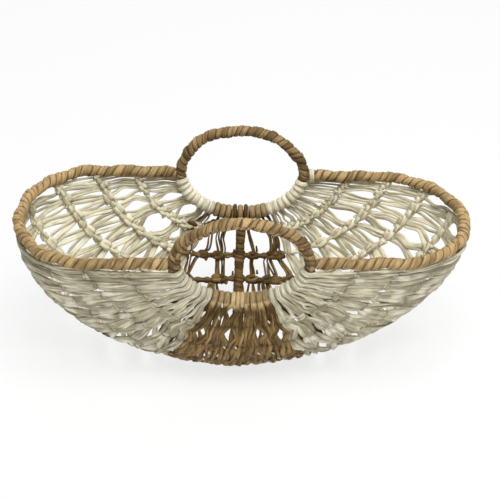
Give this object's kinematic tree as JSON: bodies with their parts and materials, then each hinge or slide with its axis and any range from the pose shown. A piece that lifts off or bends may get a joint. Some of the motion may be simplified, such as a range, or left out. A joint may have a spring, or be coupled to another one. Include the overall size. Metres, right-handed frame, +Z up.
{
  "type": "netted boat basket",
  "caption": "Open boat-shaped basket of netted jute cord on a wrapped rim, with two oval hoops whose upper halves are hand-holds.",
  "frame": {"origin": "on the floor, under the middle of the rim", "axes": "+X along the length, +Y from the front hoop to the back hoop, +Z up"},
  "size_m": [0.4757, 0.2184, 0.2124],
  "materials": {
    "cane": "bent cane rod, mostly hidden",
    "jute_strip": "matt flat fibre strip wound edge to edge",
    "brown_cord": "matt twisted brown cord",
    "white_cord": "slightly waxy ivory cord"
  },
  "bodies": {
    "root": {"front_hoop_rod": "cane", "front_handle_wrap": "jute_strip", "back_hoop_rod": "cane", "back_handle_wrap": "jute_strip", "left_rim_rod": "cane", "left_rim_wrap": "jute_strip", "right_rim_rod": "cane", "right_rim_wrap": "jute_strip", "keel_rib_rod": "cane", "keel_rib_wrap": "brown_cord", "brown_cord_left_1": "brown_cord", "brown_cord_left_2": "brown_cord", "brown_cord_left_3": "brown_cord", "brown_cord_left_4": "brown_cord", "white_cord_left_1": "white_cord", "white_cord_left_2": "white_cord", "white_cord_left_3": "white_cord", "white_cord_left_4": "white_cord", "white_cord_left_5": "white_cord", "white_cord_left_6": "white_cord", "white_cord_left_7": "white_cord", "white_cord_left_8": "white_cord", "white_row_left_1": "white_cord", "white_row_left_2": "white_cord", "white_row_left_3": "white_cord", "white_row_left_4": "white_cord", "white_row_left_5": "white_cord", "white_row_left_6": "white_cord", "white_row_left_7": "white_cord", "white_row_left_8": "white_cord", "brown_cord_right_1": "brown_cord", "brown_cord_right_2": "brown_cord", "brown_cord_right_3": "brown_cord", "brown_cord_right_4": "brown_cord", "white_cord_right_1": "white_cord", "white_cord_right_2": "white_cord", "white_cord_right_3": "white_cord", "white_cord_right_4": "white_cord", "white_cord_right_5": "white_cord", "white_cord_right_6": "white_cord", "white_cord_right_7": "white_cord", "white_cord_right_8": "white_cord", "white_row_right_1": "white_cord", "white_row_right_2": "white_cord", "white_row_right_3": "white_cord", "white_row_right_4": "white_cord", "white_row_right_5": "white_cord", "white_row_right_6": "white_cord", "white_row_right_7": "white_cord", "white_row_right_8": "white_cord"}
  },
  "joints": []
}
